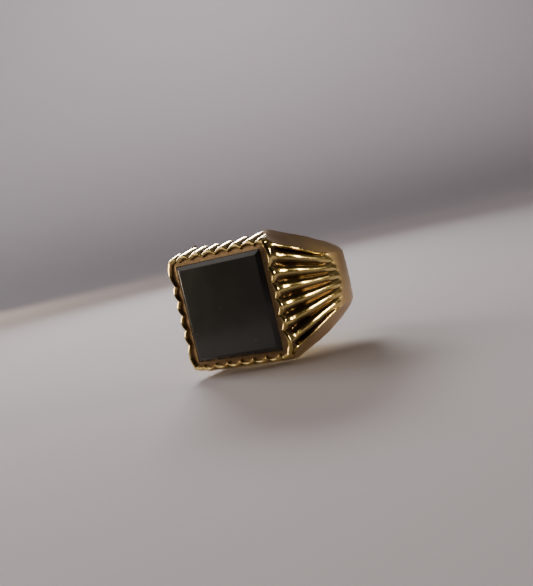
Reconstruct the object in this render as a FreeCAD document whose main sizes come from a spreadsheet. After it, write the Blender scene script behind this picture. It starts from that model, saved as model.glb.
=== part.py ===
# Square signet ring: a flat black stone in a fluted head, on a band with ribbed shoulders.
#
# Frame, in millimetres: the origin is the centre of the finger hole, +Z runs along the finger,
# the head faces -Y and +X is to the right of someone who looks at the stone.
# Angles round the band are counted from the middle of the head, 0 degrees, to the back, 180.
import FreeCAD, Part
import Sketcher
import math
import os
from FreeCAD import Placement, Vector

doc = FreeCAD.newDocument("signet_ring")

# ---------------------------------------------------------------- driving sizes
DRIVING_SIZES = {
    # finger hole and band
    "finger_radius": 9.0,
    "back_radius": 10.1,
    "back_face_half": 1.7,
    "back_edge_half": 2.4,
    "hole_end_reach": 12.0,
    # stone
    "stone_side": 12.0,
    "girdle_front": 11.4,
    "bevel_rise": 0.4,
    "bevel_angle": 53.0,
    "stone_depth": 1.2,
    "cement_side": 11.4,
    "cement_depth": 0.2,
    # head
    "lip_front": 11.6,
    "lip_valley": 6.85,
    "lobe_rise": 0.39,
    "lobe_pitch": 1.9,
    "lobe_fullness": 0.22,
    "corner_reach": 0.12,
    "corner_cut": 0.45,
    "lip_wall": 0.22,
    "lip_height": 0.18,
    "flare_front": 7.0,
    "flare_rise": 0.72,
    "flare_spread": 0.3,
    "frame_side": 12.9,
    "frame_window": 12.06,
    "frame_front": 11.4,
    "floor_front": 10.0,
    "base_width": 9.2,
    "base_height": 12.8,
    "base_reach": 6.5,
    # flutes of the shoulders
    "flute_far_angle": 84.0,
    "flute_far_pitch": 0.95,
    "flute_near_depth": 0.5,
    "flute_far_depth": 0.14,
    "flute_overshoot": 0.3,
}

# Stations along a shoulder, from the head's joint to the band's: the angle round the band,
# the outer radius, and the half-widths of the outer face and of the edge at the finger hole.
STATION_SIZES = ["angle", "radius", "face_half", "edge_half"]
SHOULDER_STATIONS = [
    (33.0, 13.30, 6.60, 8.00),
    (37.0, 12.50, 6.15, 7.85),
    (48.0, 11.40, 5.25, 7.10),
    (60.0, 10.55, 4.40, 6.45),
    (75.0, 10.20, 3.50, 5.50),
    (90.0, 10.18, 3.20, 4.83),
]
for number, values in enumerate(SHOULDER_STATIONS):
    for name, value in zip(STATION_SIZES, values):
        DRIVING_SIZES[f"station_{number}_{name}"] = value


def make_sheet():
    """The spreadsheet that drives every size."""
    table = doc.addObject("Spreadsheet::Sheet", "sizes")
    for row, (alias, value) in enumerate(DRIVING_SIZES.items(), start=1):
        table.set(f"A{row}", alias)
        table.set(f"B{row}", str(value))
        table.setAlias(f"B{row}", alias)
    doc.recompute()
    return table


sheet = make_sheet()


def size(alias):
    """One driving size, read back from the sheet."""
    return float(sheet.get(alias))


def shoulder_station(number):
    """The four sizes of one station of the shoulder, read back from the sheet."""
    return tuple(size(f"station_{number}_{name}") for name in STATION_SIZES)


# ---------------------------------------------------------------- helpers
def origin_plane(body, role):
    for feature in body.Origin.OriginFeatures:
        if feature.Role == role:
            return feature
    raise RuntimeError(f"{body.Label} has no {role}")


def new_body(label):
    body = doc.addObject("PartDesign::Body", label)
    body.Label = label
    return body


def front_sketch(body, name, distance):
    """A sketch parallel to the stone, at a driven distance in front of the finger's axis."""
    sketch = body.newObject("Sketcher::SketchObject", name)
    sketch.AttachmentSupport = (origin_plane(body, "XZ_Plane"), [""])
    sketch.MapMode = "FlatFace"
    sketch.setExpression("AttachmentOffset.Base.z", f"sizes.{distance}")
    return sketch


def add_rectangle(sketch, width, height):
    """A rectangle centred on the sketch's origin, with its two sides bound to the sheet."""
    corners = [Vector(-1, -1, 0), Vector(1, -1, 0), Vector(1, 1, 0), Vector(-1, 1, 0)]
    sides = [Part.LineSegment(corners[i], corners[(i + 1) % 4]) for i in range(4)]
    first = sketch.addGeometry(sides, False)[0]
    for i in range(4):
        sketch.addConstraint(Sketcher.Constraint("Coincident", first + i, 2, first + (i + 1) % 4, 1))
    for i in (0, 2):
        sketch.addConstraint(Sketcher.Constraint("Horizontal", first + i))
        sketch.addConstraint(Sketcher.Constraint("Vertical", first + i + 1))
    sketch.addConstraint(Sketcher.Constraint("Symmetric", first, 1, first + 2, 1, -1, 1))
    wide = sketch.addConstraint(Sketcher.Constraint("DistanceX", first, 1, first, 2, 2.0))
    high = sketch.addConstraint(Sketcher.Constraint("DistanceY", first + 1, 1, first + 1, 2, 2.0))
    sketch.setExpression(f"Constraints[{wide}]", f"sizes.{width}")
    sketch.setExpression(f"Constraints[{high}]", f"sizes.{height}")


def add_pad(body, name, sketch, length, towards_finger):
    pad = body.newObject("PartDesign::Pad", name)
    pad.Profile = sketch
    pad.Reversed = towards_finger
    pad.setExpression("Length", length)
    return pad


def add_cut(label, base, tool):
    """Base minus tool, as the sub-part that is written out."""
    cut = doc.addObject("Part::Cut", label)
    cut.Label = label
    cut.Base = base
    cut.Tool = tool
    return cut


def hidden_feature(name, shape):
    """A working solid that other features use."""
    feature = doc.addObject("Part::Feature", name)
    feature.Shape = shape
    feature.Placement = Placement()
    return feature


def finger_cylinder(name):
    """The finger hole as a solid, longer than the ring is wide."""
    cylinder = doc.addObject("Part::Cylinder", name)
    cylinder.setExpression("Radius", "sizes.finger_radius")
    cylinder.setExpression("Height", "2 * sizes.hole_end_reach")
    cylinder.setExpression("Placement.Base.z", "-sizes.hole_end_reach")
    return cylinder


# ---------------------------------------------------------------- stone and what holds it
def make_onyx_tablet():
    """The flat stone: a square slab whose front edge is bevelled all round."""
    body = new_body("onyx_tablet")
    outline = front_sketch(body, "stone_outline", "girdle_front")
    add_rectangle(outline, "stone_side", "stone_side")
    slab = add_pad(body, "stone_slab", outline, "sizes.stone_depth", True)
    doc.recompute()
    slab_volume = body.Shape.Volume
    bevel = add_pad(body, "stone_bevel", outline, "sizes.bevel_rise", False)
    bevel.setExpression("TaperAngle", "-sizes.bevel_angle")
    doc.recompute()
    straight = size("stone_side") ** 2 * size("bevel_rise")
    if not 0 < body.Shape.Volume - slab_volume < straight:
        raise RuntimeError("the stone's bevel doesn't lean inwards")
    return body


def make_cement_bed():
    """The thin bed of jeweller's cement that holds the stone down on the head's base."""
    body = new_body("cement_bed")
    outline = front_sketch(body, "cement_outline", "floor_front")
    add_rectangle(outline, "cement_side", "cement_side")
    add_pad(body, "cement_layer", outline, "sizes.cement_depth", False)
    return body


def make_ledge_frame():
    """The square frame round the stone, between it and the fluted wall of the head."""
    body = new_body("ledge_frame")
    outline = front_sketch(body, "frame_outline", "frame_front")
    add_rectangle(outline, "frame_side", "frame_side")
    add_rectangle(outline, "frame_window", "frame_window")
    add_pad(body, "frame_wall", outline, "sizes.frame_front - sizes.floor_front", True)
    return body


def make_head_base():
    """The plate under the stone, hollowed on its underside to the finger hole."""
    body = new_body("head_base")
    outline = front_sketch(body, "base_outline", "floor_front")
    add_rectangle(outline, "base_width", "base_height")
    add_pad(body, "base_block", outline, "sizes.floor_front - sizes.base_reach", True)
    doc.recompute()
    block_volume = body.Shape.Volume
    hole = body.newObject("Sketcher::SketchObject", "base_hole")
    hole.AttachmentSupport = (origin_plane(body, "XY_Plane"), [""])
    hole.MapMode = "FlatFace"
    hole.addGeometry(Part.Circle(Vector(0, 0, 0), Vector(0, 0, 1), 1.0), False)
    hole.addConstraint(Sketcher.Constraint("Coincident", 0, 3, -1, 1))
    radius = hole.addConstraint(Sketcher.Constraint("Radius", 0, 1.0))
    hole.setExpression(f"Constraints[{radius}]", "sizes.finger_radius")
    pocket = body.newObject("PartDesign::Pocket", "base_hollow")
    pocket.Profile = hole
    pocket.Midplane = True
    pocket.setExpression("Length", "2 * sizes.hole_end_reach")
    doc.recompute()
    if not 0 < body.Shape.Volume < block_volume:
        raise RuntimeError("the finger hole doesn't cut the head's base")
    return body


# ---------------------------------------------------------------- fluted head
def lobe(start, end):
    """One arc from valley to valley, bulging away from the middle of the head."""
    middle = (start + end) * 0.5
    span = end - start
    rise = min(size("lobe_rise"), size("lobe_fullness") * span.Length)
    outward = Vector(-span.z, 0, span.x).normalize()
    if outward.dot(middle) < 0:
        outward = outward * -1
    return Part.Arc(start, middle + outward * rise, end).toShape()


def scalloped_wire(y, inset, widen_x, widen_z):
    """The scalloped outline of the head at one place along Y.

    The top and bottom have six lobes between seven valleys, the sides have four between five,
    and two longer lobes with a short one between them go round each corner.
    The outline is inset all round, then widened in proportion along X and Z.
    """
    pitch = size("lobe_pitch")
    valley = size("lip_valley") - inset
    corner = valley + size("corner_reach")
    cut_corner = corner - size("corner_cut")
    quarter = [(k * pitch, valley) for k in range(4)]
    quarter += [(cut_corner, corner), (corner, cut_corner)]
    quarter += [(valley, k * pitch) for k in range(2, -1, -1)]
    points = list(quarter)
    points += [(x, -z) for x, z in reversed(quarter)][1:]
    points += [(-x, -z) for x, z in quarter][1:]
    points += [(-x, z) for x, z in reversed(quarter)][1:-1]
    scale_x = 1 + widen_x / valley
    scale_z = 1 + widen_z / valley
    places = [Vector(x * scale_x, y, z * scale_z) for x, z in points]
    return Part.Wire([lobe(start, end) for start, end in zip(places, places[1:] + places[:1])])


def head_sector():
    """The part of space that belongs to the head: between its two joints with the shoulders."""
    reach = 2 * size("lip_front")
    side = reach * math.tan(math.radians(shoulder_station(0)[0]))
    tall = size("hole_end_reach")
    corners = [Vector(0, 0, -tall), Vector(side, -reach, -tall), Vector(-side, -reach, -tall)]
    return Part.Face(Part.makePolygon(corners + corners[:1])).extrude(Vector(0, 0, 2 * tall))


def box_in_front(width, height, back, front):
    """A box centred on the head, from one distance in front of the finger's axis to another."""
    return Part.makeBox(width, front - back, height, Vector(-width / 2, -front, -height / 2))


def make_fluted_collet(finger_hole):
    """The fluted wall of the head: its scalloped lip leans out towards the finger hole."""
    front = -size("lip_front")
    back = -size("flare_front")
    lip = scalloped_wire(front, 0.0, 0.0, 0.0)
    foot = scalloped_wire(back, 0.0, size("flare_spread"), size("flare_rise"))
    wall = Part.makeLoft([lip, foot], True, True)
    recess_wire = scalloped_wire(front, size("lip_wall"), 0.0, 0.0)
    recess = Part.Face(recess_wire).extrude(Vector(0, size("lip_height"), 0))
    tray = box_in_front(size("frame_side"), size("frame_side"), size("floor_front"), size("lip_front"))
    well = box_in_front(size("base_width"), size("base_height"), size("base_reach"), size("lip_front"))
    solid = wall.common(head_sector()).cut(recess).cut(tray).cut(well)
    return add_cut("fluted_collet", hidden_feature("collet_block", solid), finger_hole)


# ---------------------------------------------------------------- band and shoulders
BACK_STEPS = 10
UNDERCUT = 0.4  # how far a section reaches inside the finger hole, which is then cut


def round_the_band(angle, radius, z):
    turn = math.radians(angle)
    return Vector(radius * math.sin(turn), -radius * math.cos(turn), z)


def band_section(angle, radius, face_half, edge_half):
    """A section across the band: its outer face, and two bevels down to the finger hole."""
    finger = size("finger_radius")
    lean = (edge_half - face_half) / (radius - finger)
    inner = finger - UNDERCUT
    inner_half = edge_half + lean * UNDERCUT
    corners = [
        round_the_band(angle, inner, -inner_half),
        round_the_band(angle, radius, -face_half),
        round_the_band(angle, radius, face_half),
        round_the_band(angle, inner, inner_half),
    ]
    return Part.makePolygon(corners + corners[:1])


def shoulder_radius(angle):
    """The shoulder's outer radius at an angle, read between its two nearest stations."""
    stations = [shoulder_station(number) for number in range(len(SHOULDER_STATIONS))]
    for near, far in zip(stations, stations[1:]):
        if near[0] <= angle <= far[0]:
            share = (angle - near[0]) / (far[0] - near[0])
            return near[1] + share * (far[1] - near[1])
    raise ValueError(f"no station at {angle} degrees")


def flute_cutter(number):
    """One tapered V-shaped flute, counted from the middle one, number 0."""
    near_pitch = size("lobe_pitch")
    far_pitch = size("flute_far_pitch")
    near_depth = size("flute_near_depth")
    far_depth = size("flute_far_depth")
    overshoot = size("flute_overshoot")
    angles = [shoulder_station(n)[0] for n in range(1, len(SHOULDER_STATIONS) - 1)]
    angles.append(size("flute_far_angle"))
    sections = []
    for angle in angles:
        share = (angle - angles[0]) / (angles[-1] - angles[0])
        z = number * (near_pitch + share * (far_pitch - near_pitch))
        depth = near_depth + share * (far_depth - near_depth)
        half_mouth = depth + overshoot
        radius = shoulder_radius(angle)
        corners = [
            round_the_band(angle, radius - depth, z),
            round_the_band(angle, radius + overshoot, z - half_mouth),
            round_the_band(angle, radius + overshoot, z + half_mouth),
        ]
        sections.append(Part.makePolygon(corners + corners[:1]))
    return Part.makeLoft(sections, True, True)


def make_shoulder(label, mirrored, finger_hole):
    """One shoulder: it runs from the head to the band and carries seven tapering flutes."""
    sections = [band_section(*shoulder_station(n)) for n in range(len(SHOULDER_STATIONS))]
    solid = Part.makeLoft(sections, True, True)
    for number in range(-3, 4):
        solid = solid.cut(flute_cutter(number))
    if mirrored:
        solid = solid.mirror(Vector(0, 0, 0), Vector(1, 0, 0))
    return add_cut(label, hidden_feature(label + "_block", solid), finger_hole)


def back_station(step):
    """A station of the back of the band.

    Its edges draw in fast behind the shoulder and then slowly, and its outer face does the reverse,
    so that the bevels between them become steep.
    """
    start, radius, face_half, edge_half = shoulder_station(len(SHOULDER_STATIONS) - 1)
    share = step / BACK_STEPS
    edge_left = (1 - share) ** 1.4
    face_left = 1 - share ** 2
    return (
        start + share * (180.0 - start),
        radius + share * (size("back_radius") - radius),
        size("back_face_half") + (face_half - size("back_face_half")) * face_left,
        size("back_edge_half") + (edge_half - size("back_edge_half")) * edge_left,
    )


def make_shank(finger_hole):
    """The back of the band, from shoulder to shoulder, narrowing to the middle of the back."""
    right = [back_station(step) for step in range(BACK_STEPS + 1)]
    left = [(360.0 - station[0],) + station[1:] for station in reversed(right[:-1])]
    sections = [band_section(*station) for station in right + left]
    solid = Part.makeLoft(sections, True, True)
    return add_cut("shank", hidden_feature("shank_block", solid), finger_hole)


# ---------------------------------------------------------------- the ring
def build():
    """Every sub-part of the ring, in the order that a bench would add them."""
    return [
        make_shank(finger_cylinder("shank_hole")),
        make_shoulder("right_shoulder", False, finger_cylinder("right_shoulder_hole")),
        make_shoulder("left_shoulder", True, finger_cylinder("left_shoulder_hole")),
        make_fluted_collet(finger_cylinder("collet_hole")),
        make_head_base(),
        make_ledge_frame(),
        make_cement_bed(),
        make_onyx_tablet(),
    ]


def check(parts):
    for thing in doc.Objects:
        if "Invalid" in thing.State or "Error" in thing.State:
            raise RuntimeError(f"{thing.Label} didn't build: {thing.State}")
    for part in parts:
        shape = part.Shape
        if shape.isNull() or not shape.isValid() or len(shape.Solids) != 1:
            raise RuntimeError(f"{part.Label} isn't one valid solid")


parts = build()
doc.recompute()
check(parts)
os.makedirs("parts", exist_ok=True)
for part in parts:
    part.Shape.exportStep(os.path.join("parts", part.Label + ".step"))
    box = part.Shape.BoundBox
    print(part.Label, "volume", round(part.Shape.Volume, 2), "mm3, box",
          [round(v, 2) for v in (box.XMin, box.YMin, box.ZMin, box.XMax, box.YMax, box.ZMax)])
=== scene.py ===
# %% [markdown]
# # A square onyx signet ring
#
# The ring is polished yellow gold with a flat black onyx in a square, fluted head. The CAD
# model is the fixed frame: it gives the sizes and the places. This lesson builds finer meshes
# over it, gives each one a finish, and sets up a plain studio.

import math

import bmesh
import bpy
import numpy as np
from mathutils import Matrix, Vector


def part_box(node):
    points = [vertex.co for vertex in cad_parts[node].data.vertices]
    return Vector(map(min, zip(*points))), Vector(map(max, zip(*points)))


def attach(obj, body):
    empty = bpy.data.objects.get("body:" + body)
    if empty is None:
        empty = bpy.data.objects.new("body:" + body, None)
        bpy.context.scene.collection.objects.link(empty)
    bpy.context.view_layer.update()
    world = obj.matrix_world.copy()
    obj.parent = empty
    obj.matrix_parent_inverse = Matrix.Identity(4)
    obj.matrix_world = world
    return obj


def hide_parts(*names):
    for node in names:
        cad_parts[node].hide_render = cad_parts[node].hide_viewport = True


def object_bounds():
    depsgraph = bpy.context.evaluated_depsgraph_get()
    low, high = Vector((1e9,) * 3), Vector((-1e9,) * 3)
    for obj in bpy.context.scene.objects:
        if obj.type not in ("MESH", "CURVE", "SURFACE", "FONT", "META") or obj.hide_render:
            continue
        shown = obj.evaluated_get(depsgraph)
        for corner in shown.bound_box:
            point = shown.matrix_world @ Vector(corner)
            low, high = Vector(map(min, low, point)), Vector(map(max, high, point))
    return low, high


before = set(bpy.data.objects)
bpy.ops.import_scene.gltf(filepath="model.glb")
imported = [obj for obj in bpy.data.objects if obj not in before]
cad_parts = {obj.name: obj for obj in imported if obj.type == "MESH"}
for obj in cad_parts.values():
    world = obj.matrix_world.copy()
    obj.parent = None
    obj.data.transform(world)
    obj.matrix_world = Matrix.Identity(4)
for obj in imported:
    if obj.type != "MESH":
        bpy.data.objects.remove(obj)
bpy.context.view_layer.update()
MM = 0.001

# %% [markdown]
# ## Sizes
#
# The frame is the CAD's own: the finger runs along Z, and the head faces -Y. Lengths below are
# in millimetres, because jewellers think in them, and every mesh is scaled to metres as it is
# made. What the CAD boxes can say is read from them.

# %% Read the main sizes from the CAD boxes
FINGER_RADIUS = 9.0
LIP_FRONT = -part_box("fluted_collet")[0].y / MM
STONE_TABLE = -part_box("onyx_tablet")[0].y / MM
STONE_BACK = -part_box("onyx_tablet")[1].y / MM
STONE_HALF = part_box("onyx_tablet")[1].x / MM
FRAME_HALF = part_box("ledge_frame")[1].x / MM
FRAME_FRONT = -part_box("ledge_frame")[0].y / MM
TRAY_FLOOR = -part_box("ledge_frame")[1].y / MM
BASE_HALF_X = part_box("head_base")[1].x / MM
BASE_HALF_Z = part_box("head_base")[1].z / MM
print("lip", round(LIP_FRONT, 2), "table", round(STONE_TABLE, 2), "stone half", STONE_HALF)

# %% [markdown]
# ## Two helpers for cast gold
#
# Every gold piece here is a wall or a bar whose cross-section changes as it goes round. A grid
# has the right connections for that from the start, so a grid is made with an operator and
# its crossings are moved to where the piece needs them. Edges that land on each other are
# welded. Each crossing also carries two numbers for the finish. "hollow" is 0 on a crest and
# rises towards 1 in grooves and other places that are darkened: partly a brown film of polish
# that cloths never reach, and partly painted shade for the dark that those places mirror.
# "satin" is 0 where the polishing wheel left a mirror and 1 where the gold was only rubbed smooth.

# %% Make a grid and lay it over a shape
WELD = 1e-7


def laid_grid(columns, rows, place):
    """A welded grid: place(column, row) gives x, y, z in millimetres, the hollow and the satin."""
    shell = bmesh.new()
    bmesh.ops.create_grid(shell, x_segments=columns, y_segments=rows, size=1.0)
    hollow = shell.verts.layers.float.new("hollow")
    satin = shell.verts.layers.float.new("satin")
    for vertex in shell.verts:
        column = round((vertex.co.x + 1) / 2 * columns)
        row = round((vertex.co.y + 1) / 2 * rows)
        x, y, z, vertex[hollow], vertex[satin] = place(column, row)
        vertex.co = Vector((x, y, z)) * MM
    bmesh.ops.remove_doubles(shell, verts=shell.verts, dist=WELD)
    return shell


# %% Turn a finished bmesh into a piece that rides on the frame
def finish_piece(name, shell, material, nodes, sharp_angle=32):
    """Outward normals, smooth faces with crisp edges, a material, and a place in the frame."""
    bmesh.ops.recalc_face_normals(shell, faces=shell.faces)
    mesh = bpy.data.meshes.new(name)
    shell.to_mesh(mesh)
    shell.free()
    mesh.shade_smooth()
    mesh.set_sharp_from_angle(angle=math.radians(sharp_angle))
    mesh.materials.append(material)
    piece = bpy.data.objects.new(name, mesh)
    bpy.context.scene.collection.objects.link(piece)
    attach(piece, "root")
    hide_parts(*nodes)
    size = [round(v / MM, 2) for v in piece.dimensions]
    print(name, len(mesh.polygons), "faces,", size, "mm")


# %% [markdown]
# ## Finishes
#
# Colours are written as sRGB hex, as a paint shop would, and one function turns them into the
# linear numbers that the shader wants. One more function adds a node with its settings and
# its links.

# %% Colour and node helpers
def linear(code):
    """A hex colour as linear red, green, blue and full alpha."""
    shares = [int(code[i:i + 2], 16) / 255 for i in (0, 2, 4)]
    curve = [s / 12.92 if s <= 0.04045 else ((s + 0.055) / 1.055) ** 2.4 for s in shares]
    return (*curve, 1.0)


def add_node(tree, kind, values=None, **settings):
    """Adds a node. A value may be a number, a colour, or another node's output to link."""
    made = tree.nodes.new(kind)
    for name, setting in settings.items():
        setattr(made, name, setting)
    for socket, value in (values or {}).items():
        if isinstance(value, bpy.types.NodeSocket):
            tree.links.new(value, made.inputs[socket])
        else:
            made.inputs[socket].default_value = value
    return made


def empty_material(name):
    """A node material with only its output in it."""
    material = bpy.data.materials.new(name)
    material.use_nodes = True
    material.node_tree.nodes.clear()
    output = add_node(material.node_tree, "ShaderNodeOutputMaterial")
    return material, material.node_tree, output


def pattern_scale(size_mm):
    """The scale that gives a noise features of this size."""
    return 1.0 / (size_mm * MM)


# %% [markdown]
# ### Polished yellow gold
#
# Nine carat gold is alloyed with silver and copper, so it is paler and a little greener than
# fine gold. It was cast, filed, and polished on a felt wheel. The crests of the ribs are
# nearly mirrors, with hairline scratches from wear. The grooves keep a brown film of polish
# and skin oil, and the band's flat bevels and the ledge round the stone are only satin. The
# same brown is also painted shade: it darkens the ribs' flanks, the back of the head's wall and
# the ledge, where the ring mirrors dark surroundings. The two numbers that each piece carries
# say where each of these is, so one material wears them all.

# %% Gold
GOLD_PALE, GOLD_WARM = "EDD794", "DDBD70"
GOLD_SATIN = "B69A76"
# the brown is a film of polish in the grooves and also painted shade on flanks, ledge and wall
GROOVE_FILM_AND_SHADE = "523E24"
MIRROR_ROUGHNESS = (0.07, 0.15)
SATIN_ROUGHNESS = (0.34, 0.39)
SHADE_FILM_START, SHADE_FILM_FULL, SHADE_FILM_COVER = 0.30, 0.78, 0.95
SHADE_FILM_DULLS = 0.12
HAIRLINE_MM = 0.05
SCRATCH_DEPTH_MM = 0.012


def polished_gold():
    material, tree, output = empty_material("wheel_polished_9ct_gold")
    place = add_node(tree, "ShaderNodeTexCoord").outputs["Object"]
    hollow = add_node(tree, "ShaderNodeAttribute", attribute_name="hollow").outputs["Fac"]
    satin = add_node(tree, "ShaderNodeAttribute", attribute_name="satin").outputs["Fac"]
    cloud = add_node(tree, "ShaderNodeTexNoise", {"Vector": place, "Scale": pattern_scale(2.2),
                                                  "Detail": 3.0}).outputs["Fac"]
    grain = add_node(tree, "ShaderNodeTexNoise", {"Vector": place, "Scale": pattern_scale(0.35),
                                                  "Detail": 4.0}).outputs["Fac"]
    tone = add_node(tree, "ShaderNodeMapRange", {"Value": cloud, "From Min": 0.20,
                                                 "From Max": 0.80}).outputs["Result"]
    mirror = add_node(tree, "ShaderNodeMix", {"Factor": tone, "A": linear(GOLD_PALE),
                                              "B": linear(GOLD_WARM)}, data_type="RGBA")
    crest = add_node(tree, "ShaderNodeMix", {"Factor": satin, "A": mirror.outputs["Result"],
                                             "B": linear(GOLD_SATIN)}, data_type="RGBA")
    # the film and painted shade are patchy: the groove's depth is pushed about by the grain
    patchy = add_node(tree, "ShaderNodeMath", {0: grain, 1: 0.3, 2: hollow},
                      operation="MULTIPLY_ADD").outputs["Value"]
    film_and_shade = add_node(tree, "ShaderNodeMapRange",
                    {"Value": patchy, "From Min": SHADE_FILM_START, "From Max": SHADE_FILM_FULL,
                     "To Max": SHADE_FILM_COVER}).outputs["Result"]
    colour = add_node(tree, "ShaderNodeMix", {"Factor": film_and_shade, "A": crest.outputs["Result"],
                                              "B": linear(GROOVE_FILM_AND_SHADE)}, data_type="RGBA")
    ranges = [add_node(tree, "ShaderNodeMapRange", {"Value": grain, "From Min": 0.3,
                                                    "From Max": 0.7, "To Min": low,
                                                    "To Max": high}).outputs["Result"]
              for low, high in (MIRROR_ROUGHNESS, SATIN_ROUGHNESS)]
    rubbed = add_node(tree, "ShaderNodeMix", {"Factor": satin, "A": ranges[0], "B": ranges[1]},
                      data_type="FLOAT").outputs["Result"]
    rough = add_node(tree, "ShaderNodeMath", {0: film_and_shade, 1: SHADE_FILM_DULLS, 2: rubbed},
                     operation="MULTIPLY_ADD", use_clamp=True)
    # hairline scratches, drawn a little coarser than real ones so that they show
    along = add_node(tree, "ShaderNodeMapping", {"Vector": place, "Rotation": (0.3, 0.2, 0.5),
                                                 "Scale": (1.0, 0.06, 1.0)})
    hairs = add_node(tree, "ShaderNodeTexNoise", {"Vector": along.outputs["Vector"],
                                                  "Scale": pattern_scale(HAIRLINE_MM),
                                                  "Detail": 2.0})
    dents = add_node(tree, "ShaderNodeTexNoise", {"Vector": place, "Scale": pattern_scale(0.7),
                                                  "Detail": 1.0})
    relief = add_node(tree, "ShaderNodeMath", {0: dents.outputs["Fac"], 1: 1.4,
                                               2: hairs.outputs["Fac"]},
                      operation="MULTIPLY_ADD").outputs["Value"]
    bump = add_node(tree, "ShaderNodeBump", {"Strength": 0.3, "Height": relief,
                                             "Distance": SCRATCH_DEPTH_MM * MM})
    gold = add_node(tree, "ShaderNodeBsdfPrincipled", {"Base Color": colour.outputs["Result"],
                                                       "Metallic": 1.0,
                                                       "Roughness": rough.outputs["Value"],
                                                       "Normal": bump.outputs["Normal"]})
    tree.links.new(gold.outputs["BSDF"], output.inputs["Surface"])
    return material


gold_9ct = polished_gold()
print("gold:", gold_9ct.name)

# %% [markdown]
# ### Black onyx
#
# Onyx for rings is dyed chalcedony, cut flat and polished. It is black all through, so what the
# eye gets is mostly its gloss. Years of wear have left so many hairline scratches that the
# table mirrors the room only softly, and a few specks of dust lie on it.

# %% Onyx
ONYX_DARK, ONYX_LIGHT, DUST = "2A2B29", "2F302E", "6A6A68"
WORN_ROUGHNESS = (0.19, 0.25)
DUST_GAP_MM = 2.3
CHALCEDONY_IOR = 1.54


def polished_onyx():
    material, tree, output = empty_material("polished_black_onyx")
    place = add_node(tree, "ShaderNodeTexCoord").outputs["Object"]
    cloud = add_node(tree, "ShaderNodeTexNoise", {"Vector": place, "Scale": pattern_scale(3.0),
                                                  "Detail": 3.0}).outputs["Fac"]
    body = add_node(tree, "ShaderNodeMix", {"Factor": cloud, "A": linear(ONYX_DARK),
                                            "B": linear(ONYX_LIGHT)}, data_type="RGBA")
    specks = add_node(tree, "ShaderNodeTexVoronoi", {"Vector": place,
                                                     "Scale": pattern_scale(DUST_GAP_MM)})
    dust = add_node(tree, "ShaderNodeMapRange", {"Value": specks.outputs["Distance"],
                                                 "From Min": 0.02, "From Max": 0.045,
                                                 "To Min": 0.55, "To Max": 0.0})
    colour = add_node(tree, "ShaderNodeMix", {"Factor": dust.outputs["Result"],
                                              "A": body.outputs["Result"],
                                              "B": linear(DUST)}, data_type="RGBA")
    wear = add_node(tree, "ShaderNodeMapRange", {"Value": cloud, "From Min": 0.3,
                                                 "From Max": 0.7, "To Min": WORN_ROUGHNESS[0],
                                                 "To Max": WORN_ROUGHNESS[1]})
    along = add_node(tree, "ShaderNodeMapping", {"Vector": place, "Rotation": (0.0, 0.7, 0.0),
                                                 "Scale": (1.0, 1.0, 0.05)})
    hairs = add_node(tree, "ShaderNodeTexNoise", {"Vector": along.outputs["Vector"],
                                                  "Scale": pattern_scale(0.06), "Detail": 2.0})
    bump = add_node(tree, "ShaderNodeBump", {"Strength": 0.2, "Distance": 0.004 * MM,
                                             "Height": hairs.outputs["Fac"]})
    stone = add_node(tree, "ShaderNodeBsdfPrincipled", {"Base Color": colour.outputs["Result"],
                                                        "Roughness": wear.outputs["Result"],
                                                        "IOR": CHALCEDONY_IOR,
                                                        "Normal": bump.outputs["Normal"]})
    tree.links.new(stone.outputs["BSDF"], output.inputs["Surface"])
    return material


black_onyx = polished_onyx()
print("stone:", black_onyx.name)

# %% [markdown]
# ### Jeweller's cement
#
# A grey epoxy, brushed on before the stone is pressed down. It hardly ever shows, so a dull,
# slightly lumpy surface is all it needs.

# %% Cement
def epoxy_cement():
    material, tree, output = empty_material("grey_epoxy_cement")
    place = add_node(tree, "ShaderNodeTexCoord").outputs["Object"]
    lumps = add_node(tree, "ShaderNodeTexNoise", {"Vector": place, "Scale": pattern_scale(0.6),
                                                  "Detail": 4.0}).outputs["Fac"]
    colour = add_node(tree, "ShaderNodeMix", {"Factor": lumps, "A": linear("55504A"),
                                              "B": linear("7A736A")}, data_type="RGBA")
    rough = add_node(tree, "ShaderNodeMapRange", {"Value": lumps, "To Min": 0.55, "To Max": 0.8})
    bump = add_node(tree, "ShaderNodeBump", {"Strength": 0.5, "Distance": 0.03 * MM,
                                             "Height": lumps})
    cement = add_node(tree, "ShaderNodeBsdfPrincipled", {"Base Color": colour.outputs["Result"],
                                                         "Roughness": rough.outputs["Result"],
                                                         "Normal": bump.outputs["Normal"]})
    tree.links.new(cement.outputs["BSDF"], output.inputs["Surface"])
    return material


cement = epoxy_cement()
print("cement:", cement.name)

# %% [markdown]
# ## The fluted wall of the head
#
# The wall is a square tube whose outline is a row of lobes, like a pie crust. Its rim is a thin
# lip that stands above a dished ledge. The two sides along the finger lean out as they go back, so
# that the wall ends on the finger hole. One closed cross-section goes round the whole outline:
# along the ledge, over the lip, down the wall, across the finger hole and up inside. Two
# slanted planes then cut away what belongs to the shoulders.

# %% The scalloped outline
LOBE_PITCH = 1.9
LIP_VALLEY = 6.85
LOBE_RISE = 0.39
LOBE_FULLNESS = 0.22
CORNER_REACH = 0.12
CORNER_CUT = 0.45
LOBE_STEPS = 14


def valley_points():
    """The valleys between the lobes, as x and z, once round the head."""
    corner = LIP_VALLEY + CORNER_REACH
    cut = corner - CORNER_CUT
    quarter = [(k * LOBE_PITCH, LIP_VALLEY) for k in range(4)]
    quarter += [(cut, corner), (corner, cut)]
    quarter += [(LIP_VALLEY, k * LOBE_PITCH) for k in range(2, -1, -1)]
    points = list(quarter)
    points += [(x, -z) for x, z in reversed(quarter)][1:]
    points += [(-x, -z) for x, z in quarter][1:]
    points += [(-x, z) for x, z in reversed(quarter)][1:-1]
    return [Vector(point) for point in points]


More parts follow.
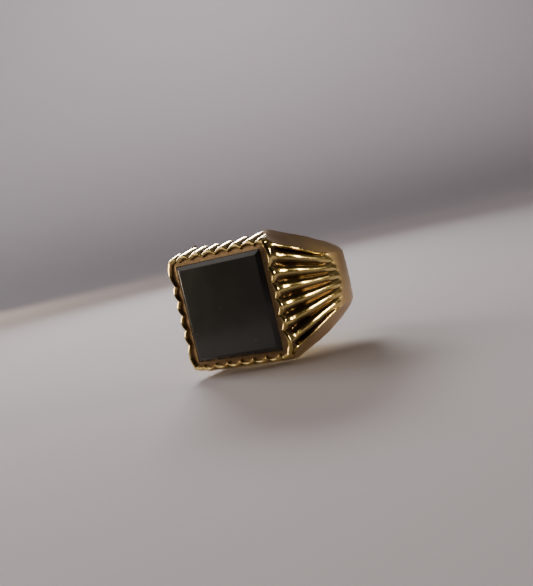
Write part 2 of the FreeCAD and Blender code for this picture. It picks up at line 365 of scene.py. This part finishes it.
def lobed_outline():
    """Points round the lip as x, z and hollow: each lobe is a low arch between two valleys."""
    valleys = valley_points()
    outline = []
    for start, end in zip(valleys, valleys[1:] + valleys[:1]):
        span = end - start
        rise = min(LOBE_RISE, LOBE_FULLNESS * span.length)
        outward = Vector((-span.y, span.x)).normalized()
        if outward.dot(start + end) < 0:
            outward = -outward
        for step in range(LOBE_STEPS):
            t = step / LOBE_STEPS
            point = start + span * t + outward * rise * 4 * t * (1 - t)
            outline.append((point.x, point.y, abs(2 * t - 1) ** 2))
    return outline


outline = lobed_outline()
print(len(valley_points()), "lobes,", len(outline), "points round the lip")

# %% How the wall leans and where it ends
FLARE_FRONT = 7.0
FLARE_Z = 0.66 / LIP_VALLEY
FLARE_X = 0.30 / LIP_VALLEY
FLARE_CURVE = 1.4
DISH_DEPTH = 0.18
DISH_WIDTH = 1.35


def ease(t):
    t = min(max(t, 0.0), 1.0)
    return t * t * (3 - 2 * t)


def dish(x, z):
    """How far the ledge is hollowed behind its highest line, at a place beside the stone."""
    away = max(abs(x), abs(z)) - STONE_HALF
    return DISH_DEPTH * math.sin(math.pi * min(max(away / DISH_WIDTH, 0.0), 1.0))


def on_square(x, z, half_x, half_z):
    """The point of a rectangle's edge in the same direction from the middle."""
    grow = 1.0 / max(abs(x) / half_x, abs(z) / half_z)
    return x * grow, z * grow


def wall_reach(x):
    """How far down the leaning wall the finger hole is met, as a share of its whole height."""
    run = LIP_FRONT - FLARE_FRONT
    a = (x * FLARE_X) ** 2 + run ** 2
    b = 2 * (x * x * FLARE_X - LIP_FRONT * run)
    c = x * x + LIP_FRONT ** 2 - FINGER_RADIUS ** 2
    inside = b * b - 4 * a * c
    if inside <= 0:
        return 1.0
    return min(1.0, (-b - math.sqrt(inside)) / (2 * a))


def wall_point(x, z, share):
    """A point on the outside of the wall, from the lip at 0 to the finger hole."""
    y = -LIP_FRONT + share * (LIP_FRONT - FLARE_FRONT)
    lean = FLARE_Z * (1 - (1 - share) ** FLARE_CURVE)
    return x * (1 + FLARE_X * share), y, z * (1 + lean)


# %% The wall's cross-section at one place on the outline
# each finish is the pair of hollow and satin
# painted shade with a film of polish: the ledge and the lip's inside get part of the brown
LEDGE_FINISH = (0.42, 1.0)
HOLE_FINISH = (0.0, 0.0)
LIP_INSIDE_FINISH = (0.35, 0.5)
LIP_TOP_FINISH = (0.0, 0.0)
LEDGE_ROWS = 7
WALL_ROWS = 24
FLOOR_ROWS = 8
FOOT_ROUNDING = 0.3
FOOT_START = 0.8
INSIDE_FROM = 0.32
# the lip from its inner foot to its outside: how far in from the outline, and how far back
LIP_ROUNDING = [(0.45, 0.19), (0.40, 0.135), (0.345, 0.07), (0.295, 0.022), (0.25, 0.003),
                (0.20, 0.006), (0.14, 0.035), (0.08, 0.09), (0.03, 0.16), (0.0, 0.24)]


def head_section(x, z, hollow):
    """The closed cross-section of the head's wall that passes through one outline point."""
    rows = []
    foot_x, foot_z = (v * (1 - LIP_ROUNDING[0][0] / LIP_VALLEY) for v in (x, z))
    inner_x, inner_z = on_square(x, z, FRAME_HALF, FRAME_HALF)
    for step in range(LEDGE_ROWS):
        t = step / LEDGE_ROWS
        ledge_x = inner_x + (foot_x - inner_x) * t
        ledge_z = inner_z + (foot_z - inner_z) * t
        rows.append((ledge_x, -FRAME_FRONT + dish(ledge_x, ledge_z), ledge_z, *LEDGE_FINISH))
    for inset, drop in LIP_ROUNDING:
        shrink = 1 - inset / LIP_VALLEY
        finish = LIP_INSIDE_FINISH if inset > INSIDE_FROM else LIP_TOP_FINISH
        rows.append((x * shrink, -LIP_FRONT + drop, z * shrink, *finish))
    reach = wall_reach(x)
    start = LIP_ROUNDING[-1][1] / (LIP_FRONT - FLARE_FRONT)
    for step in range(1, WALL_ROWS + 1):
        share = start + (reach - start) * step / WALL_ROWS
        px, py, pz = wall_point(x, z, share)
        worn = max(0.0, step / WALL_ROWS - FOOT_START) / (1 - FOOT_START)
        pz -= math.copysign(FOOT_ROUNDING * (1 - math.sqrt(1 - worn ** 2)), pz) * (reach < 1)
        # painted shade: the back of the wall is darkened more and more, so its lobes fade into
        # dark
        rows.append((px, py, pz, max(0.8 * hollow, 0.75 * ease(share * 1.4 - 0.25)), 0.0))
    out_x, out_z = rows[-1][0], rows[-1][2]
    base_x, base_z = on_square(x, z, BASE_HALF_X, BASE_HALF_Z)
    for step in range(1, FLOOR_ROWS + 1):
        t = step / FLOOR_ROWS
        floor_x = out_x + (base_x - out_x) * t
        floor_z = out_z + (base_z - out_z) * t
        floor_y = -math.sqrt(FINGER_RADIUS ** 2 - floor_x ** 2)
        rows.append((floor_x, floor_y, floor_z, *HOLE_FINISH))
    rows.append((base_x, -TRAY_FLOOR, base_z, *HOLE_FINISH))
    rows.append((inner_x, -TRAY_FLOOR, inner_z, *HOLE_FINISH))
    rows.append(rows[0])
    return rows


# %% Lay the wall, cut it at the shoulders, and close the cuts
JOINT_ANGLE = 33.0


def make_head_wall():
    sections = [head_section(*point) for point in outline]
    rows = len(sections[0]) - 1
    wall = laid_grid(len(outline), rows, lambda c, r: sections[c % len(outline)][r])
    turn = math.radians(JOINT_ANGLE)
    for side in (1, -1):
        outside = Vector((side * math.cos(turn), math.sin(turn), 0.0))
        everything = wall.verts[:] + wall.edges[:] + wall.faces[:]
        cut = bmesh.ops.bisect_plane(wall, geom=everything, dist=WELD, plane_co=(0, 0, 0),
                                     plane_no=outside, clear_outer=True)
        rim = [e for e in cut["geom_cut"] if isinstance(e, bmesh.types.BMEdge)]
        bmesh.ops.holes_fill(wall, edges=rim, sides=0)
    return wall


finish_piece("fluted_head_wall", make_head_wall(), gold_9ct, ["fluted_collet"])

# %% [markdown]
# ## The ledge frame
#
# A square gold frame holds the stone's four sides. Its front is the inner half of the dished
# ledge, so it follows the same hollow as the wall's own ledge and meets it without a step.

# %% The ledge frame as a square tube
WINDOW_HALF = 6.03
SIDE_STEPS = 16


def square_outline(steps):
    """Points round a square of half-width 1, as x and z, with a point on each corner."""
    ring = []
    for turn in range(4):
        for step in range(steps):
            t = 2 * step / steps - 1
            x, z = t, 1.0
            for _ in range(turn):
                x, z = z, -x
            ring.append((x, z))
    return ring


def make_ledge_frame():
    ring = square_outline(SIDE_STEPS)
    profile = [(WINDOW_HALF, -TRAY_FLOOR)]
    for step in range(9):
        half = WINDOW_HALF + (FRAME_HALF - WINDOW_HALF) * step / 8
        profile.append((half, -FRAME_FRONT + dish(half, 0)))
    profile.append((FRAME_HALF, -TRAY_FLOOR))
    profile.append(profile[0])

    def place(column, row):
        x, z = ring[column % len(ring)]
        half, y = profile[row]
        return x * half, y, z * half, *LEDGE_FINISH

    return laid_grid(len(ring), len(profile) - 1, place)


finish_piece("dished_ledge_frame", make_ledge_frame(), gold_9ct, ["ledge_frame"])

# %% [markdown]
# ## Shoulders
#
# Each shoulder carries six convex ribs and seven grooves that fan in from the head to the band,
# a narrow ridge at each edge, and a smooth facet that slopes to the finger hole. Going round the
# finger, the outside first falls steeply behind the lip, then sweeps out to the band. A table of
# a few stations says all that, and a smooth curve is read between them. Where the shoulder
# leaves the head it takes over the wall's own lobes, and the ribs grow out of them.

# %% Stations of a shoulder, and the curve through them
# angle round the band, outer radius, half-width of the ribbed face, half-width at the hole,
# and depth of the grooves
STATIONS = np.array([
    (33.0, 13.30, 6.80, 8.00, 0.52),
    (37.0, 12.46, 6.15, 7.85, 0.52),
    (39.5, 12.10, 5.88, 7.70, 0.54),
    (43.0, 11.76, 5.60, 7.43, 0.54),
    (48.0, 11.36, 5.25, 7.10, 0.50),
    (54.0, 10.90, 4.82, 6.72, 0.46),
    (60.0, 10.55, 4.40, 6.40, 0.42),
    (68.0, 10.28, 3.90, 5.95, 0.36),
    (75.0, 10.19, 3.52, 5.50, 0.30),
    (82.0, 10.17, 3.32, 5.14, 0.26),
    (90.0, 10.16, 3.20, 4.83, 0.24),
])


def smooth_read(angle, column):
    """A table value at an angle: a cubic through the stations that never overshoots them."""
    xs, ys = STATIONS[:, 0], STATIONS[:, column]
    steps = np.diff(ys) / np.diff(xs)
    slopes = np.concatenate([steps[:1], (steps[1:] + steps[:-1]) / 2, steps[-1:]])
    slopes[1:-1][steps[1:] * steps[:-1] <= 0] = 0.0
    i = min(max(int(np.searchsorted(xs, angle)) - 1, 0), len(xs) - 2)
    width = xs[i + 1] - xs[i]
    t = min(max((angle - xs[i]) / width, 0.0), 1.0)
    return ((1 + 2 * t) * (1 - t) ** 2 * ys[i] + t * (1 - t) ** 2 * width * slopes[i]
            + t * t * (3 - 2 * t) * ys[i + 1] - t * t * (1 - t) * width * slopes[i + 1])


# %% The head wall's lobes, where a shoulder takes them over
def wall_on_plane(angle):
    """The head wall's outside where a plane through the finger's axis meets it: z and radius."""
    slope = math.tan(math.radians(angle))
    run = LIP_FRONT - FLARE_FRONT
    found = []
    for x, z, _ in outline:
        if x > 0.9 * abs(z):
            share = (LIP_FRONT * slope - x) / (run * slope + x * FLARE_X)
            px, _, pz = wall_point(x, z, share)
            found.append((pz, px / math.sin(math.radians(angle))))
    return np.array(sorted(found)).T


# %% [markdown]
# A groove runs out towards the band. It gets shallower at an even rate, and its dark brown,
# partly a film of polish and partly painted shade, gets narrower, so that it ends in a point
# and not in a spoon. The brown also climbs the ribs' flanks and leaves only their crests
# bright: that part is painted shade for the dark that the flanks mirror.

# %% The ribbed face at one angle
RIB_STEPS = 14
RIDGE_STEPS = 6
RIDGE_TOP = 0.4
BLEND_END = 37.5
HEAD_PITCH = 1.9
EDGE_RIDGE = 0.075  # the share of the face that the two edge ridges take at the head
DOME = 0.10
LAST_GROOVE_END = 88.5
GROOVE_END_CURVE = 1.8
FADE_OUT = 16.0  # degrees over which a groove runs out
# painted shade: the two numbers below spread the darkening from the grooves up the flanks
SHADE_FILM_SPREAD = 0.36  # below 1, the film is wider than the groove
SHADE_FILM_POINT = 5.0  # how sharply the film narrows


def groove_end(z):
    """The angle where the groove at this height runs out: the middle ones run on farthest."""
    return LAST_GROOVE_END - abs(z) ** GROOVE_END_CURVE


def rib_face(angle):
    """The ribbed face from one edge to the other, as radius, z, hollow and satin."""
    radius = smooth_read(angle, 1)
    half = smooth_read(angle, 2)
    depth = smooth_read(angle, 4)
    ribbed = 1 - EDGE_RIDGE * (1 - ease((angle - 60.0) / 26.0))
    pitch = min(half * ribbed / 3, HEAD_PITCH)
    dome = DOME * ease((angle - 72.0) / 18.0)
    ridge = []
    for step in range(RIDGE_STEPS):
        t = step / RIDGE_STEPS
        if t > RIDGE_TOP:
            sink = (1 - (1 - t) / (1 - RIDGE_TOP)) ** 2
        else:
            sink = 0.1 * (1 - t / RIDGE_TOP) ** 2
        ridge.append((half + (3 * pitch - half) * t, sink))
    face = [(-z, sink) for z, sink in ridge]
    for step in range(6 * RIB_STEPS + 1):
        place = step / RIB_STEPS - 3
        across = 2 * (place - math.floor(place)) - 1 if step % RIB_STEPS else 1.0
        face.append((place * pitch, across * across))
    face += reversed(ridge)
    points = []
    for z, sink in face:
        run = min(max((angle - groove_end(z)) / FADE_OUT + 1.0, 0.0), 1.0)
        # painted shade with the film: the brown darkens the grooves and the ribs' flanks
        film_and_shade = sink ** (SHADE_FILM_SPREAD + SHADE_FILM_POINT * run) * (1.0 - ease(4.0 * run - 3.0))
        deep = depth * sink * (1.0 - run * run * (1.5 - 0.5 * run))
        points.append((radius - deep - dome * (z / half) ** 2, z, film_and_shade))
    if angle < BLEND_END:
        wall_z, wall_r = wall_on_plane(angle)
        grown = ease((angle - JOINT_ANGLE) / (BLEND_END - JOINT_ANGLE))
        points = [(r * grown + np.interp(z, wall_z, wall_r) * (1 - grown), z, film_and_shade)
                  for r, z, film_and_shade in points]
    return [(r, z, film_and_shade, ease((angle - groove_end(z) + 5.0) / 6.0)) for r, z, film_and_shade in points]


# %% The facets and the finger hole close the section
FACET_STEPS = 14
HOLE_STEPS = 28
EDGE_ROUNDING = 0.10
FACET_FINISH = (0.1, 1.0)
STEP_HEIGHT = 0.06
STEP_ANGLE = 61.0  # where the step meets the finger hole
STEP_SWEEP = 13.0  # how far it leans towards the head as it climbs
STEP_SOFTNESS = 3.5


def joint_step(angle, down):
    """A worn step in the facet, on a curved line where the head's casting meets the band."""
    up = 1.0 - down
    line = STEP_ANGLE - STEP_SWEEP * min(up / 0.55, 1.0) ** 0.8
    fade = 1.0 - ease((up - 0.35) / 0.25)
    return STEP_HEIGHT * fade * ease((line - angle) / STEP_SOFTNESS)


def closed_section(angle, face, hole_half):
    """The whole closed section at one angle, as radius, z, hollow and satin."""
    fullness = 0.05 + 0.13 * ease((angle - 62.0) / 40.0)
    facet = []
    edge_r, edge_z = face[-1][:2]
    for step in range(1, FACET_STEPS + 1):
        down = step / FACET_STEPS
        radius = edge_r + (FINGER_RADIUS + 0.05 - edge_r) * down
        z = edge_z + (hole_half - edge_z) * down
        bulge = fullness * math.sin(math.pi * down) + joint_step(angle, down)
        facet.append((radius + 0.5 * bulge, z + 0.8 * bulge, *FACET_FINISH))
    hole_z = facet[-1][1] - EDGE_ROUNDING
    hole = [(FINGER_RADIUS, hole_z * (1 - 2 * step / HOLE_STEPS), *HOLE_FINISH)
            for step in range(HOLE_STEPS + 1)]
    mirrored = [(r, -z, *finish) for r, z, *finish in reversed(facet)]
    return face + facet + hole + mirrored + face[:1]


# %% Sweep the section round the finger
def full_section(angle):
    """A shoulder's whole section at one angle."""
    return closed_section(angle, rib_face(angle), smooth_read(angle, 3))


def round_the_band(angle, radius, z, hollow, satin):
    """A section's point as x, y, z, with its finish."""
    turn = math.radians(angle)
    return radius * math.sin(turn), -radius * math.cos(turn), z, hollow, satin


def swept_bar(angles, section_at):
    """A closed bar through the sections at these angles, with both of its ends filled."""
    sections = [[round_the_band(a, *point) for point in section_at(a)] for a in angles]
    bar = laid_grid(len(sections[0]) - 1, len(angles) - 1, lambda c, r: sections[r][c])
    bmesh.ops.holes_fill(bar, edges=bar.edges[:], sides=0)
    return bar


SHOULDER_ROWS = 130
shoulder_end = float(STATIONS[-1, 0])
shoulder_angles = np.linspace(JOINT_ANGLE, shoulder_end, SHOULDER_ROWS)

finish_piece("right_shoulder_ribs", swept_bar(shoulder_angles, full_section), gold_9ct,
             ["right_shoulder"])
left_bar = swept_bar(shoulder_angles, full_section)
bmesh.ops.scale(left_bar, verts=left_bar.verts, vec=(-1, 1, 1))
finish_piece("left_shoulder_ribs", left_bar, gold_9ct, ["left_shoulder"])

# %% [markdown]
# ## The band
#
# Behind the shoulders the band is plain: a low dome with the same bevels, getting narrower
# towards the middle of the back. It starts from the very section where the shoulder ends, so
# the two meet without a seam, as they do once solder has been filed flush.

# %% The back of the band
BACK_RADIUS = 10.1
BACK_FACE_HALF = 1.7
BACK_HOLE_HALF = 2.4
BACK_ROWS = 96
BACK_SOFTNESS = 0.12  # keeps the band's edges from coming to a point at the middle of the back
BACK_SPAN = math.hypot(1, BACK_SOFTNESS) - BACK_SOFTNESS
shoulder_face = rib_face(shoulder_end)
end_radius, end_face_half, end_hole_half = (smooth_read(shoulder_end, n) for n in (1, 2, 3))


def back_section(angle):
    """The shoulder's last section, narrowed and thinned to its place on the back."""
    share = 1 - abs(180 - angle) / (180 - shoulder_end)
    sunk = share ** 2 * (1.25 - 0.25 * share ** 8)
    left = (math.hypot(1 - share, BACK_SOFTNESS) - BACK_SOFTNESS) / BACK_SPAN
    thin = (BACK_RADIUS - end_radius) * sunk
    face_half = BACK_FACE_HALF + (end_face_half - BACK_FACE_HALF) * (1 - sunk)
    hole_half = BACK_HOLE_HALF + (end_hole_half - BACK_HOLE_HALF) * left ** 1.4
    narrow = face_half / end_face_half
    face = [(radius + thin, z * narrow, *finish) for radius, z, *finish in shoulder_face]
    return closed_section(shoulder_end + share * (180 - shoulder_end), face, hole_half)


band_angles = np.linspace(shoulder_end, 360 - shoulder_end, BACK_ROWS)
finish_piece("plain_band", swept_bar(band_angles, back_section), gold_9ct, ["shank"])

# %% [markdown]
# ## The stone
#
# A flat square slab with a narrow bevel round its table. It starts as the table's own square,
# which is pulled out and back to the girdle and then straight down, and the sharp edges get
# the tiny rounding that polishing leaves.

# %% The onyx
BEVEL_RISE = 0.4
BEVEL_IN = 0.53
EDGE_POLISH = 0.035


def make_stone():
    slab = bmesh.new()
    bmesh.ops.create_grid(slab, x_segments=1, y_segments=1, size=(STONE_HALF - BEVEL_IN) * MM)
    bmesh.ops.rotate(slab, verts=slab.verts, matrix=Matrix.Rotation(math.radians(90), 3, "X"))
    bmesh.ops.translate(slab, verts=slab.verts, vec=(0, -STONE_TABLE * MM, 0))
    grow = STONE_HALF / (STONE_HALF - BEVEL_IN)
    rim = slab.edges[:]
    for back, widen in ((BEVEL_RISE, grow), (STONE_TABLE - STONE_BACK - BEVEL_RISE, 1.0)):
        pulled = bmesh.ops.extrude_edge_only(slab, edges=rim)["geom"]
        moved = [v for v in pulled if isinstance(v, bmesh.types.BMVert)]
        rim = [e for e in pulled if isinstance(e, bmesh.types.BMEdge)]
        bmesh.ops.translate(slab, verts=moved, vec=(0, back * MM, 0))
        bmesh.ops.scale(slab, verts=moved, vec=(widen, 1, widen))
    bmesh.ops.holes_fill(slab, edges=rim, sides=4)
    hard = [e for e in slab.edges if min(v.co.y for v in e.verts) < -STONE_BACK * MM - WELD]
    bmesh.ops.bevel(slab, geom=hard, offset=EDGE_POLISH * MM, segments=3, affect="EDGES",
                    profile=0.5, material=-1)
    return slab


finish_piece("flat_onyx_stone", make_stone(), black_onyx, ["onyx_tablet"])

# %% [markdown]
# ## Hidden pieces
#
# The plate under the stone and the cement on it keep their CAD shapes, which are right as they
# are, and only get their finishes.

# %% Finishes for the two CAD nodes that stay
for node, material in (("head_base", gold_9ct), ("cement_bed", cement)):
    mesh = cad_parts[node].data
    mesh.materials.clear()
    mesh.materials.append(material)
    print(node, "wears", material.name)

# %% [markdown]
# ## The studio
#
# The ring stands on a sheet of pale paper that rises behind it, so that there is no horizon.
# Polished gold shows only what is around it, so the room matters as much as the metal. The
# paper is no wider than it has to be, and a dark table lies under it: the dark that the stone
# and the grooves mirror is the table and a dim room.

# %% Paper and table, in metres
floor_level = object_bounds()[0].z - 0.00002
FLOOR_FRONT, FLOOR_BACK, BEND_RADIUS, WALL_HEIGHT = 0.080, 0.45, 1.1, 0.8
NARROW_END, WIDENING, FLARE_OUT = 0.0134, 0.37, 0.10
BEND_FROM, BEND_TO = 0.4, 0.8  # shares of the paper's rows
PAPER_TURN = 30.0
TABLE_DROP = 0.0002
TABLE_HALF = 2.0


def make_paper():
    """A strip of paper that widens away from the viewer: flat, a quarter turn, then upright."""
    sweep = bmesh.new()
    bmesh.ops.create_grid(sweep, x_segments=1, y_segments=60, size=1.0)
    for vertex in sweep.verts:
        along = (vertex.co.y + 1) / 2
        flat = min(along / BEND_FROM, 1.0)
        bent = (along - BEND_FROM) / (BEND_TO - BEND_FROM)
        turn = math.radians(90) * min(max(bent, 0.0), 1.0)
        rise = max(along - BEND_TO, 0.0) / (1 - BEND_TO) * WALL_HEIGHT
        run = -FLOOR_FRONT + (FLOOR_FRONT + FLOOR_BACK) * flat + BEND_RADIUS * math.sin(turn)
        half = NARROW_END + WIDENING * (FLOOR_FRONT + run) + FLARE_OUT * max(run, 0.0)
        vertex.co = (vertex.co.x * half, run, BEND_RADIUS * (1 - math.cos(turn)) + rise)
    turned = Matrix.Rotation(math.radians(PAPER_TURN), 3, "Z")
    bmesh.ops.rotate(sweep, verts=sweep.verts, matrix=turned)
    bmesh.ops.translate(sweep, verts=sweep.verts, vec=(0, 0, floor_level))
    return sweep


def make_table():
    """The dark table that the paper lies on."""
    top = bmesh.new()
    bmesh.ops.create_grid(top, x_segments=8, y_segments=8, size=TABLE_HALF)
    bmesh.ops.translate(top, verts=top.verts, vec=(0, 0, floor_level - TABLE_DROP))
    return top


def set_stage(name, shell, code):
    """A plain matt sheet that isn't part of the ring."""
    material, tree, output = empty_material(name)
    sheet = add_node(tree, "ShaderNodeBsdfPrincipled", {"Base Color": linear(code),
                                                        "Roughness": 0.9})
    tree.links.new(sheet.outputs["BSDF"], output.inputs["Surface"])
    mesh = bpy.data.meshes.new(name)
    shell.to_mesh(mesh)
    shell.free()
    mesh.shade_smooth()
    mesh.materials.append(material)
    sheet_object = bpy.data.objects.new(name, mesh)
    bpy.context.scene.collection.objects.link(sheet_object)


set_stage("pale_studio_paper", make_paper(), "ABA4A7")
set_stage("dark_table_top", make_table(), "2C2A28")

print("paper and table at", round(floor_level / MM, 2), "mm")

# %% [markdown]
# ### Lights
#
# Each light has one job. The key puts a soft grey gleam on the stone's upper bevel. The front
# fill lifts the satin ledge, and stays clear of what the stone mirrors. The window behind puts
# the white glints on the lobes, the long strip on the left draws the lip, and the small one on
# the right draws the line along each rib. The side window lights the paper from low down, so
# that the ring's shadow lies under its ribs, and the last one lights only the paper's far end.

# %% Lights
def soft_box(name, azimuth, elevation, distance, width, height, power, colour, spread,
             aim=(0.0, 0.0, 0.0)):
    """A rectangular soft light at a direction and a distance, in metres, from the ring.

    The spread is how wide the honeycomb grid in front of it lets the light go, in degrees.
    """
    lamp = bpy.data.lights.new(name, "AREA")
    lamp.shape = "RECTANGLE"
    lamp.size, lamp.size_y = width, height
    lamp.energy = power
    lamp.color = linear(colour)[:3]
    lamp.spread = math.radians(spread)
    box = bpy.data.objects.new(name, lamp)
    a, e = math.radians(azimuth), math.radians(elevation)
    towards = Vector((math.sin(a) * math.cos(e), -math.cos(a) * math.cos(e), math.sin(e)))
    box.location = towards * distance
    box.rotation_euler = (box.location - Vector(aim)).to_track_quat("Z", "Y").to_euler()
    box.visible_camera = False
    bpy.context.scene.collection.objects.link(box)
    print(name, power, "W")


soft_box("key_upper_left", -57, 54, 0.45, 0.30, 0.28, 0.085, "FFF8F2", 90)
soft_box("front_fill", -26, 24, 0.50, 0.34, 0.16, 0.13, "FFF0E0", 110)
soft_box("window_behind", -142, 24, 0.45, 0.16, 0.07, 0.24, "FFFFFF", 60)
soft_box("strip_left", -86, 5, 0.45, 0.68, 0.10, 0.80, "FFE8CA", 80)
soft_box("strip_right", 116, 8, 0.30, 0.018, 0.08, 0.036, "FFF0C8", 50)
soft_box("side_window", -108, 30, 2.4, 1.0, 1.0, 28.0, "F8F4F6", 170, aim=(-0.2, 1.1, 0.3))
soft_box("wall_light", -150, 60, 1.1, 0.8, 0.5, 6.5, "F8F2F4", 120, aim=(-0.7, 1.6, 0.45))

# %% The dim room: almost dark in front, a little lighter behind on the left
world = bpy.data.worlds.new("dim_studio")
bpy.context.scene.world = world
world.use_nodes = True
sky = world.node_tree
sky.nodes.clear()
toward = add_node(sky, "ShaderNodeTexCoord").outputs["Generated"]
lit_side = add_node(sky, "ShaderNodeVectorMath", {0: toward, 1: (-0.55, 0.75, 0.35)},
                    operation="DOT_PRODUCT")
back_light = add_node(sky, "ShaderNodeMapRange", {"Value": lit_side.outputs["Value"],
                                                  "From Min": -0.1, "From Max": 0.9})
room = add_node(sky, "ShaderNodeMix", {"Factor": back_light.outputs["Result"],
                                       "A": linear("2A2725"), "B": linear("8A8486")},
                data_type="RGBA")
background = add_node(sky, "ShaderNodeBackground", {"Color": room.outputs["Result"],
                                                    "Strength": 0.7})
add_node(sky, "ShaderNodeOutputWorld", {"Surface": background.outputs["Background"]})

# %% [markdown]
# ## The camera
#
# The head is seen from its right and slightly above, with the camera tipped to one side.

# %% Camera
LENS = 49.15
AZIMUTH, ELEVATION, ROLL = 30.07, 4.60, -13.36
CAMERA_PLACE = Vector((51.58, -90.81, 8.25)) * MM


def aim_camera():
    a, e, turn = (math.radians(v) for v in (AZIMUTH, ELEVATION, ROLL))
    back = Vector((math.sin(a) * math.cos(e), -math.cos(a) * math.cos(e), math.sin(e)))
    right_of = Vector((math.cos(a), math.sin(a), 0))
    up = back.cross(right_of)
    side = right_of * math.cos(turn) + up * math.sin(turn)
    top = -right_of * math.sin(turn) + up * math.cos(turn)
    pose = Matrix((side, top, back)).transposed().to_4x4()
    pose.translation = CAMERA_PLACE
    return pose


lens = bpy.data.cameras.new("camera")
lens.lens = LENS
lens.sensor_width = 36.0
lens.clip_start = 0.001
camera = bpy.data.objects.new("camera", lens)
camera.matrix_world = aim_camera()
bpy.context.scene.collection.objects.link(camera)
bpy.context.scene.camera = camera
